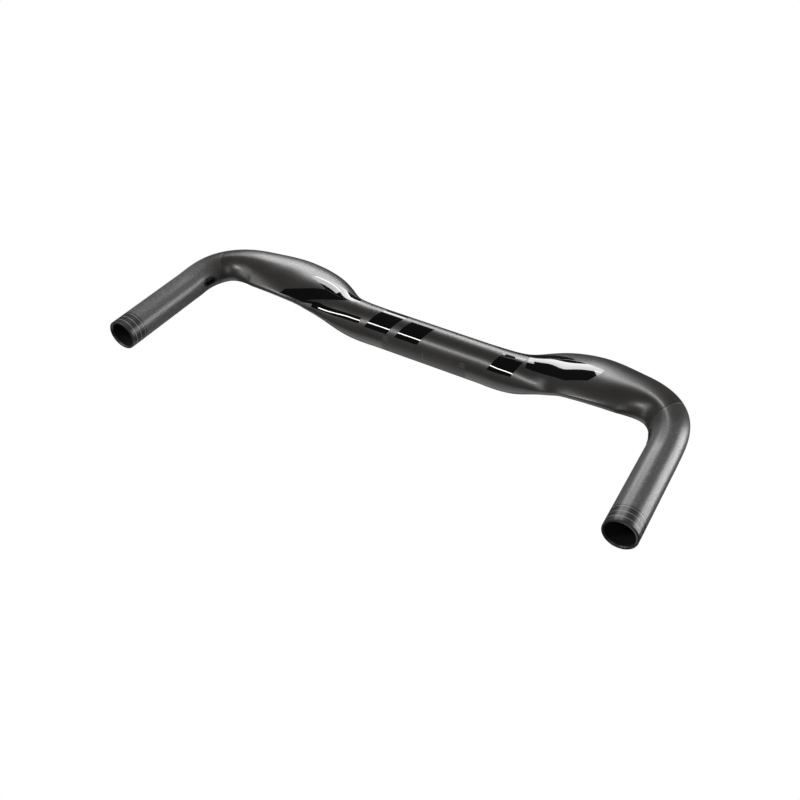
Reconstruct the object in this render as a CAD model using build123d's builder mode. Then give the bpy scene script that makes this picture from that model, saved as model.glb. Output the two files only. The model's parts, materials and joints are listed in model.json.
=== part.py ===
"""Bullhorn base bar for a time-trial bicycle, moulded in carbon fibre.

A hollow centre section carries a round clamp zone for the stem and two flat wings that rise,
sweep and turn forward.  A tubular horn is bonded to each wing on an internal spigot.  Brake and
gear cables enter an oval port behind each horn and leave beside the clamp through a liner.

Frame: millimetres, origin at the centre of the clamp zone, +X along the clamp axis to the
rider's left, -Y forward along the horns, +Z up.
"""

from build123d import *
import os
from math import cos, radians, sin, tan

os.makedirs("parts", exist_ok=True)

# ---------------------------------------------------------------- driving dimensions, mm and degrees

CLAMP_RADIUS = 15.9          # 31.8 mm stem standard
CLAMP_HALF_LENGTH = 45.0
HORN_RADIUS = 12.0           # 24 mm lever and grip diameter
HORN_OFFSET = 200.0          # middle of the bar to each horn's centre line
REACH = 131.2                # clamp axis to the horn tip, forward
RISE = 19.7                  # clamp axis up to the horns' centre lines
RISE_START = 50.5            # where the wing begins to rise, from the middle
RISE_END = 163.0
SWEEP = 11.0                 # the wings' forward sweep in plan
SWEEP_START = 69.0           # where the wing's centre line leaves the clamp axis
SWEEP_END = 126.0
SWEEP_SETBACK = 3.5          # the centre line's offset to the rear at SWEEP_END
BEND_RADIUS = 46.5
HORN_ROOT_LENGTH = 6.0       # from the bend's end to where the horn is a plain round tube
WING_PITCH = 4.0             # nose-up pitch of the wing section
PITCH_FULL = 90.0            # the pitch grows from the clamp zone to here
PITCH_EASE_OUT = 140.0       # and fades from here to the bend's end
ROUND_HANDLE = 0.5523        # curve handles, as shares of the section's width, that draw an ellipse
KEEN_NOSE_HANDLE = 0.12      # the same where the wing's leading edge is keenest: at the edge
KEEN_CROWN_HANDLE = 0.62     # and at the crown
SKIN = 1.9                   # carbon wall
GLUE_GAP = 0.1               # bond line between nested pieces
MOUTH_ROUND = 0.5            # rounding of the horn's cut end

JOINT_X = 188.6              # a point that the scarf joint of horn and wing passes through
JOINT_Y = -21.6
JOINT_SKEW = 64.0            # the joint's direction in plan, from the clamp axis
SPIGOT_WALL = 1.5
SPIGOT_REACH = 12.0          # spigot length on each side of the joint

REINFORCEMENT_WALL = 1.3
REINFORCEMENT_HALF_LENGTH = 42.0

PORT_DISTANCE = 214.5        # horn port, along the centre line from the middle of the bar
PORT_TILT = 8.0              # the port faces the other horn, and slightly up
EXIT_DISTANCE = 66.0         # cable exit beside the stem
EXIT_TILT = 45.0             # the exit faces rearward and down
PORT_LENGTH = 11.2           # oval holes in the skin
PORT_WIDTH = 6.1
PORT_CUT = 25.0              # depth that surely passes one skin, from the centre line
GROMMET_WALL = 0.8
LIP_WIDTH = 0.8              # how far the grommet's lip covers the skin around the hole
LIP_HEIGHT = 0.45
BARREL_DEPTH = 0.6           # how far the grommet's barrel stands into the hollow

LINER_RADIUS = 2.5
LINER_WALL = 0.4
LINER_DROP = 2.0             # the liner hangs this far below the centre line
LINER_PORT_OFFSET = 6.0      # the liner's ends stop short of the ports, from the centre line
LINER_EXIT_OFFSET = 7.5
LINER_WING_STOPS = (125.0, 95.0)   # the liner's path passes these distances, from the middle

TANGENT_STEP = 0.5           # step along the centre line for finding its direction

# ---------------------------------------------------------------- centre line of the left-hand side

BEND_START = HORN_OFFSET - BEND_RADIUS * (1 - sin(radians(SWEEP)))
BEND_LENGTH = BEND_RADIUS * radians(90 - SWEEP)
BEND_END = BEND_START + BEND_LENGTH
BEND_START_Y = SWEEP_SETBACK - (BEND_START - SWEEP_END) * tan(radians(SWEEP))
BEND_CENTRE_X = HORN_OFFSET - BEND_RADIUS
BEND_CENTRE_Y = BEND_START_Y - BEND_RADIUS * cos(radians(SWEEP))
HORN_ROOT = BEND_END + HORN_ROOT_LENGTH
HORN_ROOT_Y = BEND_CENTRE_Y - HORN_ROOT_LENGTH
HORN_LENGTH = REACH + HORN_ROOT_Y

# Cross-sections of the left-hand side: distance along the plan centre line from the middle of
# the bar, then from the centre line to the front edge, rear edge, crown and belly, and how keen
# the leading edge is, from 0 for an elliptical section to 1.
SECTIONS = [
    (CLAMP_HALF_LENGTH, CLAMP_RADIUS, CLAMP_RADIUS, CLAMP_RADIUS, CLAMP_RADIUS, 0.0),
    (52.0, 16.1, 16.1, 16.0, 16.0, 0.0),
    (62.0, 16.8, 16.8, 15.7, 15.7, 0.0),
    (75.0, 17.5, 17.5, 15.2, 14.4, 0.15),
    (90.0, 21.1, 21.1, 12.6, 10.4, 0.6),
    (105.0, 25.9, 25.9, 11.4, 9.0, 0.9),
    (125.0, 28.3, 28.3, 11.5, 9.1, 1.0),
    (145.0, 26.3, 26.7, 11.1, 9.7, 1.0),
    (BEND_START, 22.2, 24.8, 11.9, 9.5, 1.0),
    (BEND_START + BEND_LENGTH * 0.2, 17.5, 23.9, 12.7, 9.2, 0.9),
    (BEND_START + BEND_LENGTH * 0.4, 12.3, 21.6, 13.4, 8.4, 0.7),
    (BEND_START + BEND_LENGTH * 0.6, 11.3, 17.6, 13.8, 9.1, 0.4),
    (BEND_START + BEND_LENGTH * 0.8, 11.7, 13.6, 13.4, 10.4, 0.15),
    (BEND_END, 12.0, 11.9, 12.3, 12.2, 0.0),
    (HORN_ROOT, HORN_RADIUS, HORN_RADIUS, HORN_RADIUS, HORN_RADIUS, 0.0),
]


def ease(value, start, end):
    """Rise smoothly from 0 at start to 1 at end, level at both ends."""
    share = min(max((value - start) / (end - start), 0), 1)
    return share ** 3 * (10 - 15 * share + 6 * share ** 2)


def centre_point(distance):
    """Point of the centre line at a plan distance from the middle of the bar."""
    z = RISE * ease(distance, RISE_START, RISE_END)
    if distance <= BEND_START:
        straight = SWEEP_SETBACK - (distance - SWEEP_END) * tan(radians(SWEEP))
        return Vector(distance, straight * ease(distance, SWEEP_START, SWEEP_END), z)
    if distance <= BEND_END:
        turn = radians(SWEEP) + (distance - BEND_START) / BEND_RADIUS
        return Vector(BEND_CENTRE_X + BEND_RADIUS * sin(turn),
                      BEND_CENTRE_Y + BEND_RADIUS * cos(turn), z)
    return Vector(HORN_OFFSET, BEND_CENTRE_Y - (distance - BEND_END), z)


def section_plane(distance):
    """Plane across the bar: x to the rear or outer edge, y up, z outboard along the bar."""
    along = centre_point(distance + TANGENT_STEP) - centre_point(distance - TANGENT_STEP)
    along = along.normalized()
    if distance <= CLAMP_HALF_LENGTH:
        along = Vector(1, 0, 0)
    if distance >= HORN_ROOT:
        along = Vector(0, -1, 0)
    rearward = Vector(0, 0, 1).cross(along)
    pitch = WING_PITCH * ease(distance, CLAMP_HALF_LENGTH, PITCH_FULL)
    pitch *= 1 - ease(distance, PITCH_EASE_OUT, BEND_END)
    plane = Plane(origin=centre_point(distance), x_dir=rearward, z_dir=along)
    return plane.rotated((0, 0, -pitch))


def section(distance, front, rear, crown, belly, keenness, inset):
    """Closed profile around the centre line, inset from the skin: quarter ellipses, except that
    the quarter from leading edge to crown is flatter, with a tighter nose, where it is keen."""
    front, rear, crown, belly = front - inset, rear - inset, crown - inset, belly - inset
    nose_handle = ROUND_HANDLE + (KEEN_NOSE_HANDLE - ROUND_HANDLE) * keenness
    crown_handle = ROUND_HANDLE + (KEEN_CROWN_HANDLE - ROUND_HANDLE) * keenness
    with BuildSketch(section_plane(distance)) as profile:
        with BuildLine():
            EllipticalCenterArc((0, 0), rear, crown, start_angle=0, arc_size=90)
            if keenness > 0:
                Bezier((0, crown), (-front * crown_handle, crown),
                       (-front, crown * nose_handle), (-front, 0))
            else:
                EllipticalCenterArc((0, 0), front, crown, start_angle=90, arc_size=90)
            EllipticalCenterArc((0, 0), front, belly, start_angle=180, arc_size=90)
            EllipticalCenterArc((0, 0), rear, belly, start_angle=270, arc_size=90)
        make_face()
    return profile.sketch


def half_bar(inset):
    """Solid left-hand half of the bar, from the middle to the horn tip, inset from the skin."""
    with BuildPart() as half:
        with BuildSketch(Plane.YZ):
            Circle(CLAMP_RADIUS - inset)
        extrude(amount=CLAMP_HALF_LENGTH)
        loft([section(*sizes, inset) for sizes in SECTIONS])
        with BuildSketch(section_plane(HORN_ROOT)):
            Circle(HORN_RADIUS - inset)
        extrude(amount=HORN_LENGTH)
    return half.part


def port_plane(distance, facing):
    """Plane on the centre line that looks out through a port, its x along the bar."""
    across = section_plane(distance)
    outward = across.x_dir * cos(radians(facing)) + across.y_dir * sin(radians(facing))
    return Plane(origin=across.origin, x_dir=across.z_dir, z_dir=outward)


def mirrored(piece):
    """The right-hand twin of a left-hand piece."""
    with BuildPart() as twin:
        mirror(piece, about=Plane.YZ)
    return twin.part


def write(piece, name):
    """Label a finished piece and write it to its own file."""
    piece.label = name
    export_step(piece, f"parts/{name}.step")


outside = half_bar(0)
hollow = half_bar(SKIN)
joint_direction = (sin(radians(JOINT_SKEW)), -cos(radians(JOINT_SKEW)), 0)
joint = Plane(origin=(JOINT_X, JOINT_Y, 0), z_dir=joint_direction)
horn_port = port_plane(PORT_DISTANCE, 180 - PORT_TILT)
wing_exit = port_plane(EXIT_DISTANCE, -EXIT_TILT)

# ---------------------------------------------------------------- wing shell: clamp zone and both wings

with BuildPart() as wing_half:
    add(outside)
    add(hollow, mode=Mode.SUBTRACT)
    split(bisect_by=joint.offset(-GLUE_GAP / 2), keep=Keep.BOTTOM)
    with BuildSketch(wing_exit):
        SlotOverall(PORT_LENGTH, PORT_WIDTH)
    extrude(amount=PORT_CUT, mode=Mode.SUBTRACT)

with BuildPart() as wing_shell:
    add(wing_half.part)
    mirror(wing_half.part, about=Plane.YZ)
write(wing_shell.part, "wing_shell")

# ---------------------------------------------------------------- horns

with BuildPart() as left_horn:
    add(outside)
    add(hollow, mode=Mode.SUBTRACT)
    split(bisect_by=joint.offset(GLUE_GAP / 2), keep=Keep.TOP)
    with BuildSketch(horn_port):
        SlotOverall(PORT_LENGTH, PORT_WIDTH)
    extrude(amount=PORT_CUT, mode=Mode.SUBTRACT)
    mouth_edges = left_horn.edges().filter_by(GeomType.CIRCLE).group_by(Axis.Y)[0]
    fillet(mouth_edges.sort_by(SortBy.RADIUS)[-1], radius=MOUTH_ROUND)
write(left_horn.part, "left_horn")
write(mirrored(left_horn.part), "right_horn")

# ---------------------------------------------------------------- spigots inside the horn joints

with BuildPart() as left_joint_spigot:
    add(half_bar(SKIN + GLUE_GAP))
    add(half_bar(SKIN + GLUE_GAP + SPIGOT_WALL), mode=Mode.SUBTRACT)
    split(bisect_by=joint.offset(-SPIGOT_REACH), keep=Keep.TOP)
    split(bisect_by=joint.offset(SPIGOT_REACH), keep=Keep.BOTTOM)
    with BuildSketch(horn_port):
        SlotOverall(PORT_LENGTH, PORT_WIDTH)
    extrude(amount=PORT_CUT, mode=Mode.SUBTRACT)
write(left_joint_spigot.part, "left_joint_spigot")
write(mirrored(left_joint_spigot.part), "right_joint_spigot")

# ---------------------------------------------------------------- reinforcement inside the clamp zone

with BuildPart() as clamp_reinforcement:
    with BuildSketch(Plane.YZ):
        Circle(CLAMP_RADIUS - SKIN - GLUE_GAP)
        Circle(CLAMP_RADIUS - SKIN - GLUE_GAP - REINFORCEMENT_WALL, mode=Mode.SUBTRACT)
    extrude(amount=REINFORCEMENT_HALF_LENGTH, both=True)
write(clamp_reinforcement.part, "clamp_reinforcement")

# ---------------------------------------------------------------- grommets that line the cable holes

lip_top = half_bar(-LIP_HEIGHT)
lip_seat = half_bar(-GLUE_GAP)
barrel_end = half_bar(SKIN + BARREL_DEPTH)


def grommet(plane):
    """Oval ring for a cable hole: a lip that follows the skin, on a barrel through the skin."""
    with BuildPart() as lip:
        with BuildSketch(plane):
            SlotOverall(PORT_LENGTH + 2 * LIP_WIDTH, PORT_WIDTH + 2 * LIP_WIDTH)
        extrude(amount=PORT_CUT)
        add(lip_top, mode=Mode.INTERSECT)
        add(lip_seat, mode=Mode.SUBTRACT)
    with BuildPart() as ring:
        with BuildSketch(plane):
            SlotOverall(PORT_LENGTH - 2 * GLUE_GAP, PORT_WIDTH - 2 * GLUE_GAP)
        extrude(amount=PORT_CUT)
        add(lip_top, mode=Mode.INTERSECT)
        add(barrel_end, mode=Mode.SUBTRACT)
        add(lip.part)
        with BuildSketch(plane):
            SlotOverall(PORT_LENGTH - 2 * GROMMET_WALL, PORT_WIDTH - 2 * GROMMET_WALL)
        extrude(amount=PORT_CUT, mode=Mode.SUBTRACT)
    return ring.part


left_port_grommet = grommet(horn_port)
write(left_port_grommet, "left_port_grommet")
write(mirrored(left_port_grommet), "right_port_grommet")

left_exit_grommet = grommet(wing_exit)
write(left_exit_grommet, "left_exit_grommet")
write(mirrored(left_exit_grommet), "right_exit_grommet")

# ---------------------------------------------------------------- cable liners inside the wings

liner_stops = (BEND_START + BEND_LENGTH * 0.5, BEND_START, *LINER_WING_STOPS)


def liner_point(distance):
    """Point of the liner's path inside the wing."""
    across = section_plane(distance)
    return across.origin - across.y_dir * LINER_DROP


with BuildPart() as left_cable_liner:
    with BuildLine() as liner_path:
        Spline(
            horn_port.origin + horn_port.z_dir * LINER_PORT_OFFSET,
            *[liner_point(distance) for distance in liner_stops],
            wing_exit.origin + wing_exit.z_dir * LINER_EXIT_OFFSET,
        )
    with BuildSketch(Plane(origin=liner_path.line @ 0, z_dir=liner_path.line % 0)):
        Circle(LINER_RADIUS)
        Circle(LINER_RADIUS - LINER_WALL, mode=Mode.SUBTRACT)
    sweep()
write(left_cable_liner.part, "left_cable_liner")
write(mirrored(left_cable_liner.part), "right_cable_liner")
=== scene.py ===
"""Looks of a carbon-fibre bullhorn base bar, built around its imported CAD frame.

Everything is in metres, in the frame of the CAD part: the origin is the centre of the stem clamp
zone, +X runs along the clamp axis to the rider's left, the horns point along -Y, and +Z is up.
"""

import json
import math

import bpy
import numpy as np
from mathutils import Matrix, Vector
from mathutils.bvhtree import BVHTree


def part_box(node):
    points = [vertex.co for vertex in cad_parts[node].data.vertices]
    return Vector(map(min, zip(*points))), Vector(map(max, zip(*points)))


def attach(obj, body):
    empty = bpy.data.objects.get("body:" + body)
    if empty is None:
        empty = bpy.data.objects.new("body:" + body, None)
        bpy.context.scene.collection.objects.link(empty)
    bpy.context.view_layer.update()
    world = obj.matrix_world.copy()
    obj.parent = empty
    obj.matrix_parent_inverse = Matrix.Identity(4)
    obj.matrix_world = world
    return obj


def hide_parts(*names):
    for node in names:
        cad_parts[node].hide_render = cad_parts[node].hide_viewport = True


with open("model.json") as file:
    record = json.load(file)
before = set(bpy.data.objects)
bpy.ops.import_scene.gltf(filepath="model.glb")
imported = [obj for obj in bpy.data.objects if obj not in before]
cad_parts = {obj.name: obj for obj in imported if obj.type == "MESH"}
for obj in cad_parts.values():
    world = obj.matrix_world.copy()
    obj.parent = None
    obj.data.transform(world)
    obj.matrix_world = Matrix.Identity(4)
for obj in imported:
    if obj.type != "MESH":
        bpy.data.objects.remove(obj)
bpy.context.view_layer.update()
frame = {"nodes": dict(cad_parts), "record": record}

MM = 0.001
mounts = {mount["name"]: mount for mount in frame["record"]["mounts"]}

# ---------------------------------------------------------------- sizes read from the frame

CLAMP_RADIUS = mounts["stem_clamp"]["dims"]["r_mm"] * MM
CLAMP_HALF_LENGTH = mounts["stem_clamp"]["dims"]["length_mm"] * MM / 2
HORN_OFFSET = mounts["left_grip"]["pos_m"][0]
RISE = mounts["left_grip"]["pos_m"][2]
HORN_RADIUS = mounts["left_grip"]["dims"]["r_mm"] * MM
SKIN = HORN_RADIUS - mounts["left_lever_bore"]["dims"]["r_mm"] * MM
TIP_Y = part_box("left_horn")[0].y

# ---------------------------------------------------------------- the bar's centre line and sections

RISE_START, RISE_END = 50.5 * MM, 163 * MM
SWEEP = math.radians(11)
SWEEP_START, SWEEP_END = 69 * MM, 126 * MM
SWEEP_SETBACK = 3.5 * MM
BEND_RADIUS = 46.5 * MM
WING_PITCH = math.radians(4)
PITCH_FULL = 90 * MM
PITCH_EASE_OUT = 140 * MM
JOINT = np.array([188.6 * MM, -21.6 * MM, 0])
JOINT_SKEW = math.radians(64)   # the joint plane's normal, turned from -Y towards +X
JOINT_REACH = 20 * MM           # how far beyond the horn's root the joint is looked for
JOINT_TRIALS = 361
GLUE_GAP = 0.1 * MM
SLOPE_STEP = 0.5 * MM

# From leading edge to crown a section is a curve with two handles. One rises from the leading
# edge, as a share of the height, and one reaches forward from the crown, as a share of the width.
ROUND_HANDLE = 0.5523           # both handles of an ellipse
KEEN_NOSE_HANDLE = 0.12
KEEN_CROWN_HANDLE = 0.62

BEND_START = HORN_OFFSET - BEND_RADIUS * (1 - math.sin(SWEEP))
BEND_LENGTH = BEND_RADIUS * (math.pi / 2 - SWEEP)
BEND_END = BEND_START + BEND_LENGTH
BEND_START_Y = SWEEP_SETBACK - (BEND_START - SWEEP_END) * math.tan(SWEEP)
BEND_CENTRE_X = HORN_OFFSET - BEND_RADIUS
BEND_CENTRE_Y = BEND_START_Y - BEND_RADIUS * math.cos(SWEEP)
HORN_ROOT_LENGTH = 6 * MM
HORN_ROOT = BEND_END + HORN_ROOT_LENGTH
TIP = BEND_END + BEND_CENTRE_Y - TIP_Y

# Distance along the centre line, then from the centre line to the front edge, rear edge, crown
# and belly, all in mm, and how keen the leading edge is, from 0 for an ellipse to 1.
WING_SECTIONS = [
    (52.0, 16.1, 16.1, 16.0, 16.0, 0.0),
    (62.0, 16.8, 16.8, 15.7, 15.7, 0.0),
    (75.0, 17.5, 17.5, 15.2, 14.4, 0.15),
    (90.0, 21.1, 21.1, 12.6, 10.4, 0.6),
    (105.0, 25.9, 25.9, 11.4, 9.0, 0.9),
    (125.0, 28.3, 28.3, 11.5, 9.1, 1.0),
    (145.0, 26.3, 26.7, 11.1, 9.7, 1.0),
]
# The same, with the share of the bend in place of the distance.
BEND_SECTIONS = [
    (0.0, 22.2, 24.8, 11.9, 9.5, 1.0),
    (0.2, 17.5, 23.9, 12.7, 9.2, 0.9),
    (0.4, 12.3, 21.6, 13.4, 8.4, 0.7),
    (0.6, 11.3, 17.6, 13.8, 9.1, 0.4),
    (0.8, 11.7, 13.6, 13.4, 10.4, 0.15),
    (1.0, 12.0, 11.9, 12.3, 12.2, 0.0),
]


def ease(value, start, end):
    """Rise smoothly from 0 at start to 1 at end, level at both ends."""
    share = np.clip((value - start) / (end - start), 0, 1)
    return share ** 3 * (10 - 15 * share + 6 * share ** 2)


def level_ended_spline(xs, ys):
    """Cubic spline through the points that starts and ends level, as a function of an array."""
    xs, ys = np.array(xs), np.array(ys)
    gap, rise = np.diff(xs), np.diff(ys)
    count = len(xs)
    system = np.eye(count)
    target = np.zeros(count)
    for i in range(1, count - 1):
        system[i, i - 1:i + 2] = 1 / gap[i - 1], 2 / gap[i - 1] + 2 / gap[i], 1 / gap[i]
        target[i] = 3 * (rise[i - 1] / gap[i - 1] ** 2 + rise[i] / gap[i] ** 2)
    slopes = np.linalg.solve(system, target)

    def value(x):
        x = np.clip(x, xs[0], xs[-1])
        i = np.clip(np.searchsorted(xs, x, side="right") - 1, 0, count - 2)
        t = (x - xs[i]) / gap[i]
        start = ys[i] * (1 + 2 * t) * (1 - t) ** 2 + slopes[i] * gap[i] * t * (1 - t) ** 2
        end = ys[i + 1] * t ** 2 * (3 - 2 * t) + slopes[i + 1] * gap[i] * t ** 2 * (t - 1)
        return start + end

    return value


stations = [CLAMP_HALF_LENGTH]
stations += [row[0] * MM for row in WING_SECTIONS]
stations += [BEND_START + row[0] * BEND_LENGTH for row in BEND_SECTIONS]
stations += [HORN_ROOT]


def value_along(column, unit, start, end):
    """One column of the sections as a function of the distance along the bar."""
    values = [row[column] * unit for row in WING_SECTIONS + BEND_SECTIONS]
    return level_ended_spline(stations, [start, *values, end])


to_front, to_rear, to_crown, to_belly = (
    value_along(column, MM, CLAMP_RADIUS, HORN_RADIUS) for column in (1, 2, 3, 4))
keenness = value_along(5, 1.0, 0.0, 0.0)


def centre_line(distance):
    """Points of the left-hand centre line at an array of distances from the bar's middle."""
    turn = SWEEP + (distance - BEND_START) / BEND_RADIUS
    on_wing, on_bend = distance <= BEND_START, distance <= BEND_END
    straight = SWEEP_SETBACK - (distance - SWEEP_END) * math.tan(SWEEP)
    wing_y = straight * ease(distance, SWEEP_START, SWEEP_END)
    bend_x = BEND_CENTRE_X + BEND_RADIUS * np.sin(turn)
    bend_y = BEND_CENTRE_Y + BEND_RADIUS * np.cos(turn)
    x = np.where(on_wing, distance, np.where(on_bend, bend_x, HORN_OFFSET))
    y = np.where(on_wing, wing_y, np.where(on_bend, bend_y, BEND_CENTRE_Y - (distance - BEND_END)))
    z = RISE * ease(distance, RISE_START, RISE_END)
    return np.stack([x, y, z], -1)


def section_axes(distance):
    """Unit vectors along the bar, towards the section's leading edge and towards its crown."""
    along = centre_line(distance + SLOPE_STEP) - centre_line(distance - SLOPE_STEP)
    along[distance <= CLAMP_HALF_LENGTH] = 1, 0, 0
    along[distance >= HORN_ROOT] = 0, -1, 0
    along /= np.linalg.norm(along, axis=-1, keepdims=True)
    forward = np.cross(along, np.array([0, 0, 1.0]))
    forward /= np.linalg.norm(forward, axis=-1, keepdims=True)
    up = np.cross(forward, along)
    pitch = WING_PITCH * ease(distance, CLAMP_HALF_LENGTH, PITCH_FULL)
    pitch = (pitch * (1 - ease(distance, PITCH_EASE_OUT, BEND_END)))[..., None]
    tipped_forward = forward * np.cos(pitch) + up * np.sin(pitch)
    tipped_up = up * np.cos(pitch) - forward * np.sin(pitch)
    return along, tipped_forward, tipped_up


def skin_points(distance, around, inset=0.0):
    """Points of the skin: around is 0 at the leading edge and 90 degrees at the crown."""
    distance, around, inset = np.broadcast_arrays(distance, np.radians(around), inset)
    _, forward, up = section_axes(distance)
    width = np.where(np.cos(around) >= 0, to_front(distance), to_rear(distance)) - inset
    height = np.where(np.sin(around) >= 0, to_crown(distance), to_belly(distance)) - inset
    out, rise = width * np.cos(around), height * np.sin(around)
    share = around / (math.pi / 2)
    keen = keenness(distance)
    nose_handle = ROUND_HANDLE + (KEEN_NOSE_HANDLE - ROUND_HANDLE) * keen
    crown_handle = ROUND_HANDLE + (KEEN_CROWN_HANDLE - ROUND_HANDLE) * keen
    early, late = 3 * (1 - share) ** 2 * share, 3 * (1 - share) * share ** 2
    front_out = width * ((1 - share) ** 3 + early + late * crown_handle)
    front_rise = height * (early * nose_handle + late + share ** 3)
    in_quarter = (share > 0) & (share < 1)
    out, rise = np.where(in_quarter, front_out, out), np.where(in_quarter, front_rise, rise)
    return centre_line(distance) + out[..., None] * forward + rise[..., None] * up


# ---------------------------------------------------------------- mesh helpers

COLUMNS = 144
around_columns = np.arange(COLUMNS) * 360 / COLUMNS - 90


def new_object(name, mesh):
    """Put a mesh in the scene, smooth all over."""
    mesh.polygons.foreach_set("use_smooth", np.ones(len(mesh.polygons), bool))
    mesh.update()
    piece = bpy.data.objects.new(name, mesh)
    bpy.context.scene.collection.objects.link(piece)
    return piece


def grid_faces(rows, columns):
    """Quads of a grid that is closed both ways, over vertices numbered row by row."""
    index = np.arange(rows * columns).reshape(rows, columns)
    next_row = np.roll(index, -1, axis=0)
    corners = [index, next_row, np.roll(next_row, -1, axis=1), np.roll(index, -1, axis=1)]
    return np.stack(corners, -1).reshape(-1, 4)


def tube_mesh(name, points, along, on_outside):
    """A thick-walled tube as a ring of rows, each row a closed loop of columns.

    Each face corner keeps its distance along the bar in mm, its angle around the section in
    degrees, and whether it is on the outside, for the materials to draw with.
    """
    rows, columns = points.shape[:2]
    faces = grid_faces(rows, columns)
    mesh = bpy.data.meshes.new(name)
    mesh.from_pydata(points.reshape(-1, 3).tolist(), [], faces.tolist())
    column = np.tile(np.arange(columns), rows)
    corner_columns = np.stack([column, column, column + 1, column + 1], -1)
    corner_values = {
        "along": along.reshape(-1)[faces] / MM,
        "around": around_columns[0] + corner_columns * 360 / columns,
        "outside": np.repeat(on_outside, columns)[faces],
    }
    for key, values in corner_values.items():
        attribute = mesh.attributes.new(key, "FLOAT", "CORNER")
        attribute.data.foreach_set("value", values.astype(np.float32).ravel())
    return new_object(name, mesh)


def mirrored_copy(piece, name):
    """The right-hand twin of a left-hand mesh piece."""
    mesh = piece.data.copy()
    mesh.transform(Matrix.Scale(-1, 4, (1, 0, 0)))
    mesh.flip_normals()
    return new_object(name, mesh)


def cut(piece, cutters):
    """Subtract the cutters from the piece's mesh and remove them."""
    for cutter in cutters:
        modifier = piece.modifiers.new("cut", "BOOLEAN")
        modifier.operation = "DIFFERENCE"
        modifier.solver = "EXACT"
        modifier.object = cutter
    graph = bpy.context.evaluated_depsgraph_get()
    finished = bpy.data.meshes.new_from_object(piece.evaluated_get(graph))
    piece.modifiers.clear()
    piece.data = finished
    for cutter in cutters:
        bpy.data.objects.remove(cutter)


def finish_piece(piece, material, slot_name, *replaced):
    """Give a piece its material, its body and the CAD node that it stands for."""
    piece.data.materials.clear()
    piece.data.materials.append(material)
    if replaced:
        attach(piece, "root")
        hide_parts(*replaced)


# ---------------------------------------------------------------- wing shell and horns

OUTSIDE_STEP = 1.4 * MM
INSIDE_STEP = 2.2 * MM
EDGE_ROUND = 0.2 * MM
MOUTH_ROUND = 0.5 * MM
joint_normal = np.array([math.sin(JOINT_SKEW), -math.cos(JOINT_SKEW), 0])


def joint_distance(offset, inset):
    """For each column, the distance along the bar at which the skin meets the joint plane."""
    distances = np.linspace(BEND_START, HORN_ROOT + JOINT_REACH, JOINT_TRIALS)
    points = skin_points(distances[:, None], around_columns[None, :], inset)
    height = (points - JOINT) @ joint_normal - offset
    return np.array([np.interp(0, height[:, j], distances) for j in range(COLUMNS)])


def rounding(radius, steps=4):
    """(setback, inset) pairs of a rounded edge, from the side face to the end face."""
    turns = np.linspace(0, math.pi / 2, steps + 1)[1:]
    return [(radius * (1 - math.sin(turn)), radius * (1 - math.cos(turn))) for turn in turns]


def skin_rows(start, end, step, inset):
    """Evenly spread rows of (distances, inset) from one end of a skin to the other."""
    count = math.ceil(abs(np.mean(end - start)) / step)
    return [(start + share * (end - start), inset) for share in np.linspace(0, 1, count)]


def tube_from_rows(rows):
    """Points, distances and outside marks of the rows, for tube_mesh."""
    points = np.stack([skin_points(distance, around_columns, inset) for distance, inset in rows])
    along = np.stack([distance for distance, _ in rows])
    on_outside = np.array([float(inset < SKIN / 2) for _, inset in rows])
    return points, along, on_outside


def make_wing_shell():
    """The clamp zone and both wings as one skin, between the two joints."""
    middle = np.zeros(COLUMNS)
    outer_end = joint_distance(-GLUE_GAP / 2, 0)
    inner_end = joint_distance(-GLUE_GAP / 2, SKIN)
    rows = skin_rows(middle, outer_end - EDGE_ROUND, OUTSIDE_STEP, 0.0)
    rows += [(outer_end - setback, inset) for setback, inset in rounding(EDGE_ROUND)]
    rows += skin_rows(inner_end, middle, INSIDE_STEP, SKIN)
    points, along, on_outside = tube_from_rows(rows)
    # The ring of rows goes out along the left wing and back inside it, then round the right wing.
    other_points = points[::-1] * (-1, 1, 1)
    all_points = np.concatenate([points[:-1], other_points[:-1]])
    all_along = np.concatenate([along[:-1], -along[::-1][:-1]])
    all_outside = np.concatenate([on_outside[:-1], on_outside[::-1][:-1]])
    return tube_mesh("wing_shell_skin", all_points, all_along, all_outside)


def make_left_horn():
    """The left horn, from the joint to its rounded mouth."""
    outer_start = joint_distance(GLUE_GAP / 2, 0)
    inner_start = joint_distance(GLUE_GAP / 2, SKIN)
    tip = np.full(COLUMNS, TIP)
    rows = [(outer_start + setback, inset) for setback, inset in rounding(EDGE_ROUND)[::-1]]
    rows += skin_rows(outer_start + EDGE_ROUND, tip - MOUTH_ROUND, OUTSIDE_STEP, 0.0)
    rows += [(tip - setback, inset) for setback, inset in rounding(MOUTH_ROUND)]
    rows += skin_rows(tip, inner_start, INSIDE_STEP, SKIN)
    return tube_mesh("left_horn_skin", *tube_from_rows(rows))


wing_shell = make_wing_shell()
left_horn = make_left_horn()

# ---------------------------------------------------------------- cable ports and their grommets

PORT_LENGTH, PORT_WIDTH = 11.2 * MM, 6.1 * MM
PORT_REACH = 25 * MM
HORN_PORT = 214.5 * MM, 8
WING_EXIT = 66 * MM, 225
GROMMET_WALL = 0.8 * MM     # also the lip's reach outside the port
LIP_HEIGHT = 0.45 * MM
LIP_SQUARENESS = 0.6    # 1 is a smooth dome, and less is flatter on top
LIP_STEPS = 13
BARREL_DEPTH = SKIN + 0.6 * MM


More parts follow.
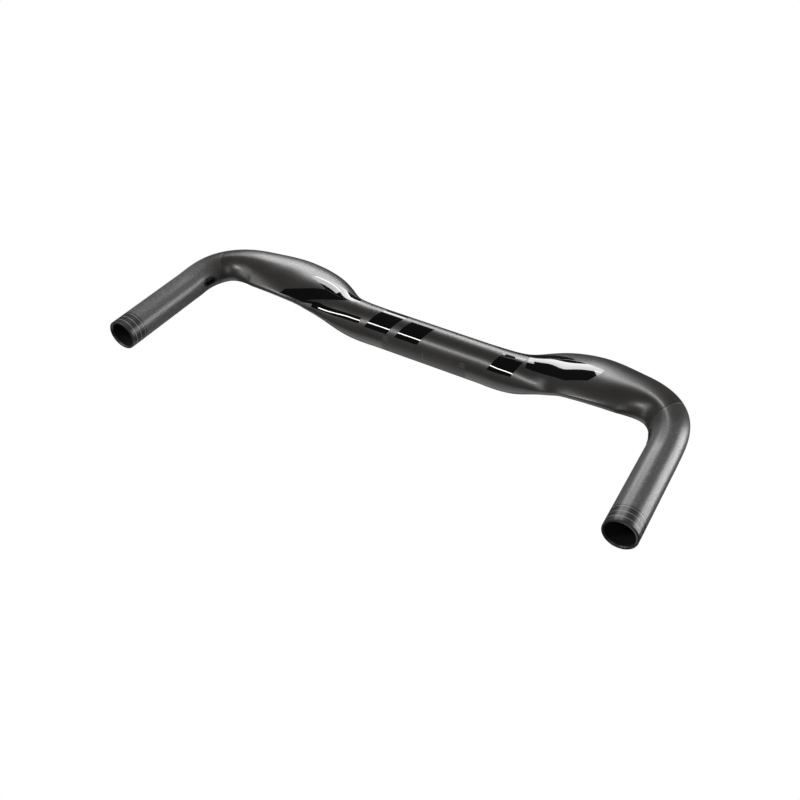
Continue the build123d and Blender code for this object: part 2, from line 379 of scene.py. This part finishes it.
class Port:
    """An oval cable port on the left-hand side, seen from outside the bar."""

    def __init__(self, distance, around):
        at = np.array([distance])
        along, forward, up = (axis[0] for axis in section_axes(at))
        turn = math.radians(around)
        self.centre = centre_line(at)[0]
        self.along = along
        self.outward = forward * math.cos(turn) + up * math.sin(turn)
        self.across = np.cross(self.outward, self.along)

    def outline(self, grow, steps=24):
        """Points of the oval, widened by grow on every side, at the height of the centre line."""
        half_straight = (PORT_LENGTH - PORT_WIDTH) / 2
        radius = PORT_WIDTH / 2 + grow
        turns = np.linspace(-math.pi / 2, math.pi / 2, steps)
        cap = np.stack([half_straight + radius * np.cos(turns), radius * np.sin(turns)], -1)
        oval = np.concatenate([cap, -cap])
        return self.centre + oval[:, :1] * self.along + oval[:, 1:] * self.across

    def cutter(self):
        """Prism from the centre line outwards through the skin."""
        low = self.outline(0.0)
        high = low + PORT_REACH * self.outward
        count = len(low)
        sides = [(i, (i + 1) % count, (i + 1) % count + count, i + count) for i in range(count)]
        caps = [tuple(range(count))[::-1], tuple(range(count, 2 * count))]
        mesh = bpy.data.meshes.new("port_cutter")
        mesh.from_pydata(np.concatenate([low, high]).tolist(), [], sides + caps)
        return new_object("port_cutter", mesh)

    def grommet(self, name, skin):
        """Ring with a barrel through the skin and a domed lip that follows the skin's surface."""
        seat = GLUE_GAP
        dome = [(-GROMMET_WALL * math.cos(turn),
                 seat + (LIP_HEIGHT - seat) * math.sin(turn) ** LIP_SQUARENESS)
                for turn in np.linspace(0, math.pi, LIP_STEPS)]
        barrel = [(-GLUE_GAP, seat), (-GLUE_GAP, -BARREL_DEPTH)]
        profile = dome + barrel + [(-GROMMET_WALL, -BARREL_DEPTH)]
        rows = []
        for grow, height in profile:
            row = []
            for point in self.outline(grow):
                above = Vector(point + PORT_REACH * self.outward)
                hit = skin.ray_cast(above, Vector(-self.outward))[0]
                row.append(np.array(hit) + height * self.outward)
            rows.append(row)
        points = np.array(rows)
        mesh = bpy.data.meshes.new(name)
        mesh.from_pydata(points.reshape(-1, 3).tolist(), [], grid_faces(*points.shape[:2]).tolist())
        return new_object(name, mesh)


def skin_tree(piece):
    """A tree for casting rays at a piece before its ports are cut."""
    return BVHTree.FromObject(piece, bpy.context.evaluated_depsgraph_get())


horn_port = Port(*HORN_PORT)
wing_exit = Port(*WING_EXIT)
left_port_grommet = horn_port.grommet("left_port_grommet_ring", skin_tree(left_horn))
left_exit_grommet = wing_exit.grommet("left_exit_grommet_ring", skin_tree(wing_shell))
right_port_grommet = mirrored_copy(left_port_grommet, "right_port_grommet_ring")
right_exit_grommet = mirrored_copy(left_exit_grommet, "right_exit_grommet_ring")

cut(left_horn, [horn_port.cutter()])
right_horn = mirrored_copy(left_horn, "right_horn_skin")
exit_cutter = wing_exit.cutter()
cut(wing_shell, [exit_cutter, mirrored_copy(exit_cutter, "right_exit_cutter")])

# ---------------------------------------------------------------- material helpers

OUTLINE_SOFTNESS = 0.25   # width of a printed edge, in mm or degrees
FIBRES_PER_MM = 0.05


class Material:
    """Short calls for building one material's node tree."""

    def __init__(self, name):
        self.material = bpy.data.materials.new(name)
        self.material.use_nodes = True
        self.tree = self.material.node_tree
        self.tree.nodes.clear()

    def add(self, kind, inputs=None, **settings):
        """A shader node with its settings, and its inputs linked or set."""
        node = self.tree.nodes.new("ShaderNode" + kind)
        for key, value in settings.items():
            setattr(node, key, value)
        for key, value in (inputs or {}).items():
            if isinstance(value, bpy.types.NodeSocket):
                self.tree.links.new(value, node.inputs[key])
            else:
                node.inputs[key].default_value = value
        return node

    def math(self, operation, *values):
        """The result of one operation on numbers or sockets."""
        return self.add("Math", dict(enumerate(values)), operation=operation).outputs[0]

    def attribute(self, name):
        """A number kept on the mesh's face corners."""
        return self.add("Attribute", attribute_name=name).outputs["Fac"]

    def vector(self, x, y, z=0.0):
        """A vector of three numbers or sockets."""
        return self.add("CombineXYZ", {"X": x, "Y": y, "Z": z}).outputs[0]

    def scaled(self, vector, *scale):
        """The vector with each of its three parts scaled."""
        inputs = {0: vector, 1: scale}
        return self.add("VectorMath", inputs, operation="MULTIPLY").outputs[0]

    def noise(self, vector, detail):
        """Noise around 0.5 whose features are about one unit of the vector wide."""
        inputs = {"Vector": vector, "Scale": 1.0, "Detail": detail}
        return self.add("TexNoise", inputs).outputs["Fac"]

    def mottle(self, position, per_metre, detail):
        """Noise with about per_metre features to the metre, alike in all directions."""
        return self.noise(self.scaled(position, per_metre, per_metre, per_metre), detail)

    def fibres(self, along, around, per_degree):
        """Noise drawn out along the bar, as unidirectional fibres are."""
        stretched = self.vector(self.math("MULTIPLY", along, FIBRES_PER_MM),
                                self.math("MULTIPLY", around, per_degree))
        return self.noise(stretched, 4)

    def fade(self, value, low, high):
        """0 below low and 1 above high, smooth between them; low may be above high."""
        inputs = {"Value": value, "From Min": low, "From Max": high}
        node = self.add("MapRange", inputs, interpolation_type="SMOOTHSTEP")
        return node.outputs["Result"]

    def blend(self, share, low, high):
        """A number that goes from low to high with the share."""
        inputs = {"Value": share, "To Min": low, "To Max": high}
        return self.add("MapRange", inputs).outputs["Result"]

    def colours(self, share, low, high):
        """A colour that goes from low to high with the share."""
        node = self.add("Mix", {"Factor": share}, data_type="RGBA")
        for socket, colour in (("A_Color", low), ("B_Color", high)):
            target = next(i for i in node.inputs if i.identifier == socket)
            if isinstance(colour, bpy.types.NodeSocket):
                self.tree.links.new(colour, target)
            else:
                target.default_value = (*colour, 1)
        return next(o for o in node.outputs if o.identifier == "Result_Color")

    def union(self, masks):
        """The highest of several masks."""
        joined = masks[0]
        for mask in masks[1:]:
            joined = self.math("MAXIMUM", joined, mask)
        return joined

    def polygon(self, place, corners):
        """Mask of a convex outline drawn on the unrolled skin, corners anticlockwise."""
        depths = []
        for (x0, y0), (x1, y1) in zip(corners, corners[1:] + corners[:1]):
            length = math.hypot(x1 - x0, y1 - y0)
            inward = (y0 - y1) / length, (x1 - x0) / length
            edge = inward[0] * x0 + inward[1] * y0
            inputs = {0: place, 1: (*inward, -edge)}
            depths.append(self.add("VectorMath", inputs, operation="DOT_PRODUCT").outputs["Value"])
        inside = depths[0]
        for depth in depths[1:]:
            inside = self.math("MINIMUM", inside, depth)
        return self.fade(inside, 0, OUTLINE_SOFTNESS)

    def bump(self, height, distance, strength):
        """Surface directions for a relief whose full height is distance metres."""
        inputs = {"Height": height, "Distance": distance, "Strength": strength}
        return self.add("Bump", inputs).outputs["Normal"]

    def surface(self, **inputs):
        """Finish the material with one principled surface."""
        named = {key.replace("_", " "): value for key, value in inputs.items()}
        shader = self.add("BsdfPrincipled", named)
        output = self.add("OutputMaterial")
        self.tree.links.new(shader.outputs[0], output.inputs["Surface"])
        return self.material


def grey(value, tint=0.0):
    """A grey colour, slightly warm with a positive tint and cool with a negative one."""
    return value * (1 + tint), value, value * (1 - tint)


# ---------------------------------------------------------------- graphics on the wing shell

# Outlines on the unrolled skin: (mm along the bar, degrees around the section), anticlockwise.
BAND_WIDTH = 20.5
BAND_LEAN = 0.125     # mm along the bar for each degree up
BAND_MIDDLE = 60      # where on its way round a band is at its stated place along the bar
# Each band's middle along the bar, and the parts of it around the section.
BAND_PARTS = [(-40.2, 27, 112), (-12.4, 27, 92), (68.3, 27, 77), (68.3, 80, 89)]


def band(centre, low, high):
    """One part of a slanted band round the tube, leaning towards +X at its top."""
    def corner(side, around):
        return centre + side * BAND_WIDTH / 2 + BAND_LEAN * (around - BAND_MIDDLE), around

    return [corner(-1, low), corner(1, low), corner(1, high), corner(-1, high)]


BANDS = [band(*part) for part in BAND_PARTS]
BLADES = [
    [(83, 64), (121, 47), (136, 59), (140, 79), (140, 90), (107, 97), (84, 100)],
    [(33, 118), (108, 97), (118, 97), (104, 112), (80, 129), (40, 131)],
    [(-134.5, 16), (-116.5, 20.5), (-80, 86), (-103, 78.5), (-131.5, 36)],
    [(-120, 84), (-103, 79), (-80, 86), (-70, 96), (-73, 118), (-89.5, 117), (-102, 108), (-116, 93)],
    [(-116, 18), (-60, 31), (-59.5, 50), (-100, 43)],
    [(-125, 17), (-89, 29), (-96, 46), (-118, 24.5)],
]
MARK_PLACES = -34, 34
MARK_LOWS = 9, 14, 19
MARK_HALF_LENGTH = 2.5
MARK_HEIGHT = 1.2
CENTRE_MARK = [(-0.25, -14), (0.25, -14), (0.25, 12), (-0.25, 12)]


def mark_bar(centre, low):
    """One short bar of the clamp marks."""
    left, right = centre - MARK_HALF_LENGTH, centre + MARK_HALF_LENGTH
    return [(left, low), (right, low), (right, low + MARK_HEIGHT), (left, low + MARK_HEIGHT)]


MARK_BARS = [mark_bar(centre, low) for centre in MARK_PLACES for low in MARK_LOWS]


# ---------------------------------------------------------------- materials

FROSTED_EDGE = 37.3, 36.7     # mm from the middle, where the frosted clamp zone begins and is full
FROSTED_TOP = 24, 4           # degrees up the front, where it begins and is full
RINGS_FROM_TIP = 4.0, 8.6, 13.2
RING_EDGE = 0.3, 0.15         # mm from a ring's middle, where it begins and is full
DARK_END_EDGE = 15.0, 14.6    # mm from the tip
JOINT_SHADE = 220, 200        # mm along the bar, over which the coat fades in towards the joint


def coated_carbon():
    """Satin clear coat over unidirectional carbon, with gloss black graphics."""
    m = Material("coated_carbon")
    along, around, outside = m.attribute("along"), m.attribute("around"), m.attribute("outside")
    place = m.vector(along, around, 1.0)
    gloss = m.union([m.polygon(place, outline) for outline in BANDS + BLADES])
    gloss = m.math("MULTIPLY", gloss, outside)
    marks = m.union([m.polygon(place, outline) for outline in MARK_BARS + [CENTRE_MARK]])
    fibres = m.fibres(along, around, 1.4)
    position = m.add("TexCoord").outputs["Object"]
    clouds = m.mottle(position, 60, 3)
    grain = m.mottle(position, 1500, 2)
    weave_share = m.math("ADD", m.math("MULTIPLY", fibres, 0.7), m.math("MULTIPLY", clouds, 0.3))
    satin = m.colours(m.fade(weave_share, 0.3, 0.7), grey(0.026, 0.06), grey(0.040, 0.06))
    satin = m.colours(marks, satin, grey(0.16))
    colour = m.colours(gloss, satin, grey(0.003))
    frosted = m.math("MULTIPLY", m.fade(m.math("ABSOLUTE", along), *FROSTED_EDGE),
                     m.fade(around, *FROSTED_TOP))
    satin_roughness = m.math("ADD", m.blend(clouds, 0.29, 0.35), m.math("MULTIPLY", frosted, 0.2))
    roughness = m.add("Mix", {"Factor": gloss, "A": satin_roughness, "B": 0.04}).outputs[0]
    normal = m.bump(grain, 0.000005, m.math("SUBTRACT", 1.0, gloss))
    return m.surface(Base_Color=colour, Roughness=roughness, Normal=normal, IOR=1.55)


def matt_carbon():
    """Matt carbon with a fine rough surface, and printed trim rings near the mouth."""
    m = Material("matt_carbon")
    along, around, outside = m.attribute("along"), m.attribute("around"), m.attribute("outside")
    distance = m.math("ABSOLUTE", along)
    from_tip = m.math("SUBTRACT", TIP / MM, distance)
    rings = m.union([m.fade(m.math("ABSOLUTE", m.math("SUBTRACT", from_tip, ring)), *RING_EDGE)
                     for ring in RINGS_FROM_TIP])
    rings = m.math("MULTIPLY", rings, outside)
    dark_end = m.fade(from_tip, *DARK_END_EDGE)
    position = m.add("TexCoord").outputs["Object"]
    fibres = m.fibres(along, around, 0.9)
    grain = m.mottle(position, 1200, 3)
    specks = m.fade(m.mottle(position, 900, 1), 0.52, 0.68)
    colour = m.colours(m.fade(fibres, 0.3, 0.7), grey(0.092, 0.01), grey(0.132, 0.01))
    colour = m.colours(m.math("MULTIPLY", specks, 0.35), colour, grey(0.3))
    near_joint = m.fade(distance, *JOINT_SHADE)
    colour = m.colours(near_joint, colour, grey(0.055, 0.04))
    colour = m.colours(dark_end, colour, grey(0.035))
    colour = m.colours(rings, colour, grey(0.3))
    # Inside the tube the colour is near black: painted shade in the hollow bore.
    colour = m.colours(outside, grey(0.012), colour)
    roughness = m.blend(grain, 0.27, 0.42)
    normal = m.bump(grain, 0.00003, 0.6)
    return m.surface(Base_Color=colour, Roughness=roughness, Normal=normal, IOR=1.5)


def bare_carbon():
    """Bare moulded carbon with the crossed threads of a peel ply."""
    m = Material("bare_carbon")
    position = m.add("TexCoord").outputs["Object"]
    turned = m.add("VectorRotate", {"Vector": position, "Angle": math.pi / 2}).outputs[0]
    threads = [m.add("TexWave", {"Vector": way, "Scale": 400.0, "Distortion": 0.6}).outputs["Fac"]
               for way in (position, turned)]
    cloth = m.math("MULTIPLY", *threads)
    clouds = m.mottle(position, 90, 3)
    colour = m.colours(m.fade(clouds, 0.3, 0.7), grey(0.02), grey(0.05))
    roughness = m.blend(cloth, 0.65, 0.45)
    normal = m.bump(cloth, 0.00005, 0.7)
    return m.surface(Base_Color=colour, Roughness=roughness, Normal=normal)


def grommet_plastic():
    """Fine-grained black moulded polymer, a little polished by the cables."""
    m = Material("grommet_plastic")
    position = m.add("TexCoord").outputs["Object"]
    grain = m.mottle(position, 2500, 2)
    wear = m.mottle(position, 300, 3)
    colour = m.colours(m.fade(wear, 0.35, 0.65), grey(0.012), grey(0.03))
    roughness = m.blend(wear, 0.28, 0.5)
    normal = m.bump(grain, 0.00001, 0.5)
    return m.surface(Base_Color=colour, Roughness=roughness, Normal=normal)


def liner_plastic():
    """Translucent extruded nylon, with faint draw lines and dusty patches."""
    m = Material("liner_plastic")
    position = m.add("TexCoord").outputs["Object"]
    dust = m.mottle(position, 200, 4)
    draw_lines = m.noise(m.scaled(position, 40, 1500, 1500), 2)
    colour = m.colours(m.fade(dust, 0.35, 0.7), (0.62, 0.61, 0.57), (0.42, 0.4, 0.36))
    roughness = m.blend(dust, 0.3, 0.55)
    normal = m.bump(draw_lines, 0.00002, 0.5)
    return m.surface(Base_Color=colour, Roughness=roughness, Normal=normal,
                     Transmission_Weight=0.35, Subsurface_Weight=0.2, Subsurface_Scale=0.001)


skin_carbon, horn_carbon, inner_carbon = coated_carbon(), matt_carbon(), bare_carbon()
port_plastic, tube_plastic = grommet_plastic(), liner_plastic()

finish_piece(wing_shell, skin_carbon, "coated_carbon", "wing_shell")
finish_piece(left_horn, horn_carbon, "matt_carbon", "left_horn")
finish_piece(right_horn, horn_carbon, "matt_carbon", "right_horn")
for side, rings in (("left", (left_port_grommet, left_exit_grommet)),
                    ("right", (right_port_grommet, right_exit_grommet))):
    for ring, place in zip(rings, ("port", "exit")):
        finish_piece(ring, port_plastic, "grommet_plastic", f"{side}_{place}_grommet")
    finish_piece(frame["nodes"][f"{side}_joint_spigot"], inner_carbon, "bare_carbon")
    finish_piece(frame["nodes"][f"{side}_cable_liner"], tube_plastic, "liner_plastic")
finish_piece(frame["nodes"]["clamp_reinforcement"], inner_carbon, "bare_carbon")

# ---------------------------------------------------------------- floor, world and lights

FLOOR_DROP = 0.35
FLOOR_SIZE = 16.0
LIT_MIDDLE = -0.1, -0.18, 0   # middle of the round glowing patch of floor, a painted pool of light that reflections show
LIT_EDGE = 0.325, 0.225       # distances from it at which the light begins and is full
ROOM_GLOW = 0.05              # brightness of the dark room in reflections


def pale_floor():
    """White to the camera from above, unseen from below, and glowing only near the object, a painted
    pool of light for the bar to reflect.
    """
    m = Material("pale_floor")
    path = m.add("LightPath")
    position = m.add("NewGeometry").outputs["Position"]
    level = m.scaled(position, 1, 1, 0)
    between = {0: level, 1: LIT_MIDDLE}
    from_middle = m.add("VectorMath", between, operation="DISTANCE").outputs["Value"]
    # A painted pool of light: the patch glows, fading to the room's glow away from it.
    lit = m.fade(from_middle, *LIT_EDGE)
    strength = m.math("MAXIMUM", m.blend(lit, ROOM_GLOW, 1.0), path.outputs["Is Camera Ray"])
    white = m.add("Emission", {"Color": (1, 1, 1, 1), "Strength": strength})
    clear = m.add("BsdfTransparent")
    below = m.add("NewGeometry").outputs["Backfacing"]
    both = m.add("MixShader", {0: below, 1: white.outputs[0], 2: clear.outputs[0]})
    output = m.add("OutputMaterial")
    m.tree.links.new(both.outputs[0], output.inputs["Surface"])
    return m.material


floor_mesh = bpy.data.meshes.new("floor")
half = FLOOR_SIZE / 2
floor_corners = [(-half, -half), (half, -half), (half, half), (-half, half)]
floor_mesh.from_pydata([(x, y, -FLOOR_DROP) for x, y in floor_corners], [], [(0, 1, 2, 3)])
floor = new_object("floor", floor_mesh)
floor_mesh.materials.append(pale_floor())


def studio_world():
    """White behind the object, and a dark room where the object reflects it."""
    world = bpy.data.worlds.new("studio")
    bpy.context.scene.world = world
    world.use_nodes = True
    nodes, links = world.node_tree.nodes, world.node_tree.links
    nodes.clear()
    path = nodes.new("ShaderNodeLightPath")
    strength = nodes.new("ShaderNodeMapRange")
    strength.inputs["To Min"].default_value = ROOM_GLOW
    strength.inputs["To Max"].default_value = 1.0
    background = nodes.new("ShaderNodeBackground")
    background.inputs["Color"].default_value = 1, 1, 1, 1
    output = nodes.new("ShaderNodeOutputWorld")
    links.new(path.outputs["Is Camera Ray"], strength.inputs["Value"])
    links.new(strength.outputs["Result"], background.inputs["Strength"])
    links.new(background.outputs[0], output.inputs["Surface"])


studio_world()


def softbox(name, place, length, height, radiance, along=(1, 0, 0)):
    """A rectangular light whose length lies along a direction, turned about it to face the bar."""
    side = Vector(along).normalized()
    back = Vector(place) - side * side.dot(Vector(place))
    back.normalize()
    light = bpy.data.lights.new(name, "AREA")
    light.shape = "RECTANGLE"
    light.size, light.size_y = length, height
    light.energy = radiance * math.pi * length * height
    lamp = bpy.data.objects.new(name, light)
    bpy.context.scene.collection.objects.link(lamp)
    turned = Matrix((side, back.cross(side), back)).transposed().to_4x4()
    lamp.matrix_world = Matrix.Translation(place) @ turned
    lamp.visible_camera = False


softbox("back_box", (-0.59, 1.10, 0.57), 0.78, 0.42, 8.3)
softbox("back_high_box", (-0.28, 1.10, 1.00), 0.40, 0.38, 8)
softbox("front_strip", (-0.34, -0.65, 0.67), 0.42, 0.075, 33)
softbox("front_left_box", (-0.92, -0.65, 0.78), 0.60, 0.95, 2.6)
softbox("front_right_box", (0.62, -0.85, 0.62), 0.60, 0.60, 2.2)
softbox("front_low_box", (-1.10, -0.95, 0.20), 0.9, 0.8, 1.2)
softbox("right_box", (1.10, 1.00, -0.02), 0.7, 1.3, 9.5, along=(0, 1, 0))

# ---------------------------------------------------------------- camera

SENSOR_WIDTH = 36
FOCAL_LENGTH = 41.70
CAMERA_PLACE = Vector((0.27194, -0.51842, 0.44474))
CAMERA_TARGET = Vector((-0.029215, -0.000427, -0.069044))

camera_data = bpy.data.cameras.new("camera")
camera_data.sensor_width = SENSOR_WIDTH
camera_data.lens = FOCAL_LENGTH
camera = bpy.data.objects.new("camera", camera_data)
bpy.context.scene.collection.objects.link(camera)
camera.location = CAMERA_PLACE
camera.rotation_euler = (CAMERA_TARGET - CAMERA_PLACE).to_track_quat("-Z", "Y").to_euler()
bpy.context.scene.camera = camera
bpy.context.scene.view_settings.view_transform = "Standard"
